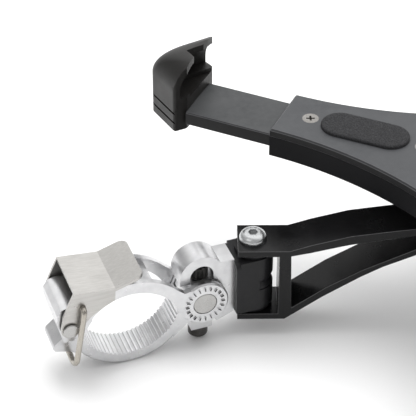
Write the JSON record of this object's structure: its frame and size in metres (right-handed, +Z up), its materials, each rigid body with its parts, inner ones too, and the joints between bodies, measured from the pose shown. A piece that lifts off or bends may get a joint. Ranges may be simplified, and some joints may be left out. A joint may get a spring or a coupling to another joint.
{
  "type": "handlebar device holder",
  "caption": "Tablet and phone holder with sliding arms and rubber corner grips on a quick-latch handlebar clamp.",
  "frame": {"origin": "centre of the opening between the closed clamp jaws, on the handlebar axis", "axes": "+Y along the handlebar, +Z up away from the cradle underside, +X from the clamp towards the holder"},
  "size_m": [0.2598, 0.2508, 0.08],
  "materials": {
    "cast_aluminium": "bright tumbled die casting",
    "pin_steel": "turned",
    "stainless_sheet": "brushed",
    "stainless_wire": "drawn wire",
    "dark_steel": "black oxide",
    "black_nylon": "semi-gloss moulded",
    "brass": "machined",
    "gloss_black": "gloss moulded",
    "bright_steel": "bright zinc",
    "nickel_steel": "dull nickel plate",
    "acetal": "natural acetal",
    "plate_aluminium": "machined",
    "tray_plastic": "satin moulded",
    "cover_plastic": "satin fine grain",
    "foam": "closed cell foam",
    "arm_plastic": "satin moulded",
    "grip_rubber": "moulded matt rubber"
  },
  "bodies": {
    "lower_jaw": {"lower_jaw": "cast_aluminium"},
    "upper_jaw": {"upper_jaw": "cast_aluminium", "lever_pin": "pin_steel"},
    "lever": {"latch_lever": "stainless_sheet"},
    "bail": {"wire_bail": "stainless_wire"},
    "knuckle": {"swivel_block": "cast_aluminium", "hinge_pin": "pin_steel", "lock_screw": "dark_steel", "lock_nut": "dark_steel", "pivot_tongue": "black_nylon", "pivot_bush": "brass"},
    "bracket": {"bracket_arm": "gloss_black", "pivot_screw": "bright_steel", "pivot_insert": "brass", "pivot_washers": "black_nylon", "hub_bolt": "bright_steel", "hub_disc": "acetal", "hub_spring_washer": "bright_steel", "hub_nut": "bright_steel"},
    "cradle": {"swivel_plate": "plate_aluminium", "swivel_plate_screws": "bright_steel", "lower_tray": "tray_plastic", "top_cover": "cover_plastic", "cover_screws": "nickel_steel", "brake_pads": "acetal", "foam_pad_1": "foam", "foam_pad_2": "foam", "foam_pad_3": "foam", "foam_pad_4": "foam"},
    "arm_1": {"arm_bar_1": "arm_plastic", "corner_grip_1": "grip_rubber", "grip_screw_1": "bright_steel"},
    "arm_2": {"arm_bar_2": "arm_plastic", "corner_grip_2": "grip_rubber", "grip_screw_2": "bright_steel"},
    "arm_3": {"arm_bar_3": "arm_plastic", "corner_grip_3": "grip_rubber", "grip_screw_3": "bright_steel"},
    "arm_4": {"arm_bar_4": "arm_plastic", "corner_grip_4": "grip_rubber", "grip_screw_4": "bright_steel"}
  },
  "joints": [
    {"name": "jaw_hinge", "type": "hinge", "parent": "lower_jaw", "child": "upper_jaw", "pos_m": [0.0263, 0, 0.002], "axis": [0, 1, 0], "range_deg": [0, 72]},
    {"name": "lever_hinge", "type": "hinge", "parent": "upper_jaw", "child": "lever", "pos_m": [-0.022, 0, 0.0066], "axis": [0, -1, 0], "range_deg": [0, 110]},
    {"name": "bail_swing", "type": "hinge", "parent": "lever", "child": "bail", "pos_m": [-0.0175, 0, 0.0152], "axis": [0, 1, 0], "range_deg": [0, 170.5]},
    {"name": "pitch_hinge", "type": "hinge", "parent": "lower_jaw", "child": "knuckle", "pos_m": [0.0263, 0, 0.002], "axis": [0, 1, 0], "range_deg": [-30, 20]},
    {"name": "yaw_pivot", "type": "hinge", "parent": "knuckle", "child": "bracket", "pos_m": [0.0465, 0, 0], "axis": [0, 0, -1], "range_deg": [-60, 55]},
    {"name": "cradle_swivel", "type": "hinge", "parent": "bracket", "child": "cradle", "pos_m": [0.13224, -0.03019, 0.033], "axis": [0, 0, 1], "continuous": true},
    {"name": "arm_slide_1", "type": "slide", "parent": "cradle", "child": "arm_1", "axis": [-0.7133, 0.7009, 0], "range_m": [0, 0.0295]},
    {"name": "arm_slide_2", "type": "slide", "parent": "cradle", "child": "arm_2", "axis": [0.4019, 0.9157, 0], "range_m": [0, 0.0295]},
    {"name": "arm_slide_3", "type": "slide", "parent": "cradle", "child": "arm_3", "axis": [0.7133, -0.7009, 0], "range_m": [0, 0.0295]},
    {"name": "arm_slide_4", "type": "slide", "parent": "cradle", "child": "arm_4", "axis": [-0.4019, -0.9157, 0], "range_m": [0, 0.0295]}
  ],
  "couplings": [
    {"joint": "bail_swing", "follows": "lever_hinge", "ratio": 1.55}
  ]
}
